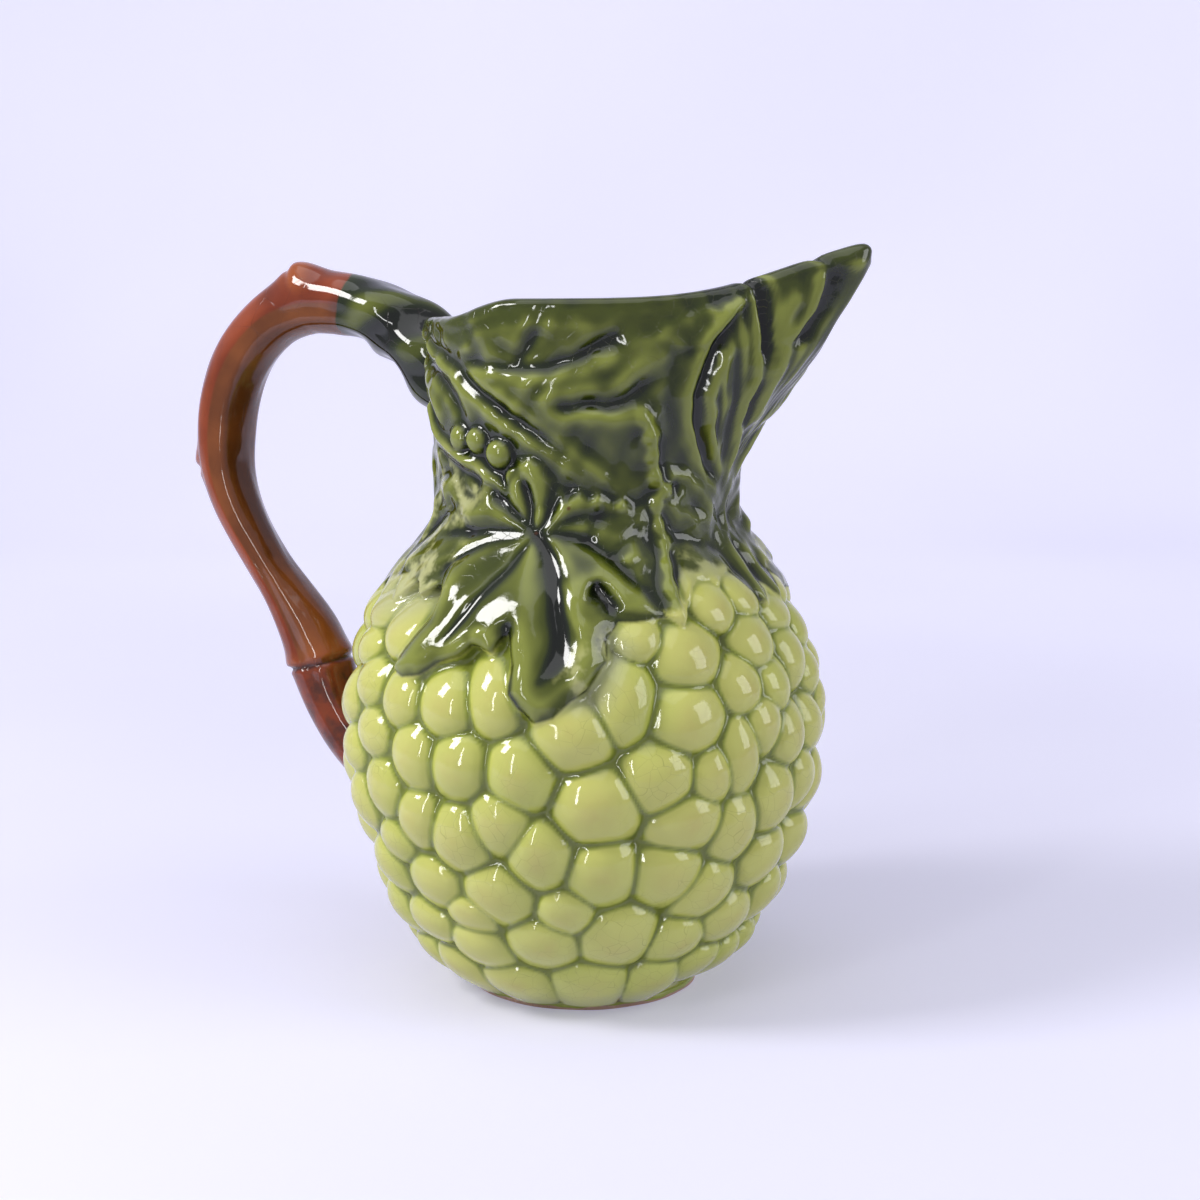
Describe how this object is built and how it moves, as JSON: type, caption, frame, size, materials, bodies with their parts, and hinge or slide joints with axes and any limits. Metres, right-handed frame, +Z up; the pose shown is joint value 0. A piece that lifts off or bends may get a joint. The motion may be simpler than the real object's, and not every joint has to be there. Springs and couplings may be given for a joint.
{
  "type": "grape jug",
  "caption": "Glazed earthenware jug shaped as a bunch of green grapes, with a vine-leaf neck, a long pouring spout and a knotted branch handle.",
  "frame": {"origin": "centre of the round foot, on the surface that the jug stands on", "axes": "+Z up; +X towards the pouring spout, with the handle on -X; -Y is the side with the near vine leaf"},
  "size_m": [0.2373, 0.153, 0.229],
  "materials": {
    "pale_green_glaze": "glossy translucent yellow-green glaze, darker in the creases between the grapes, finely crazed",
    "dark_green_glaze": "glossy dark leaf-green glaze, nearly black in the grooves and olive on the ridges, finely crazed",
    "brown_glaze": "glossy rust-brown glaze, running to green at the upper end",
    "bare_clay": "unglazed pink-brown fired clay"
  },
  "bodies": {
    "root": {"foot": "bare_clay", "belly": "pale_green_glaze", "neck": "dark_green_glaze", "handle": "brown_glaze", "near_vine_leaf": "dark_green_glaze", "far_vine_leaf": "dark_green_glaze", "near_bud_sprig": "dark_green_glaze", "far_bud_sprig": "dark_green_glaze"}
  },
  "joints": []
}
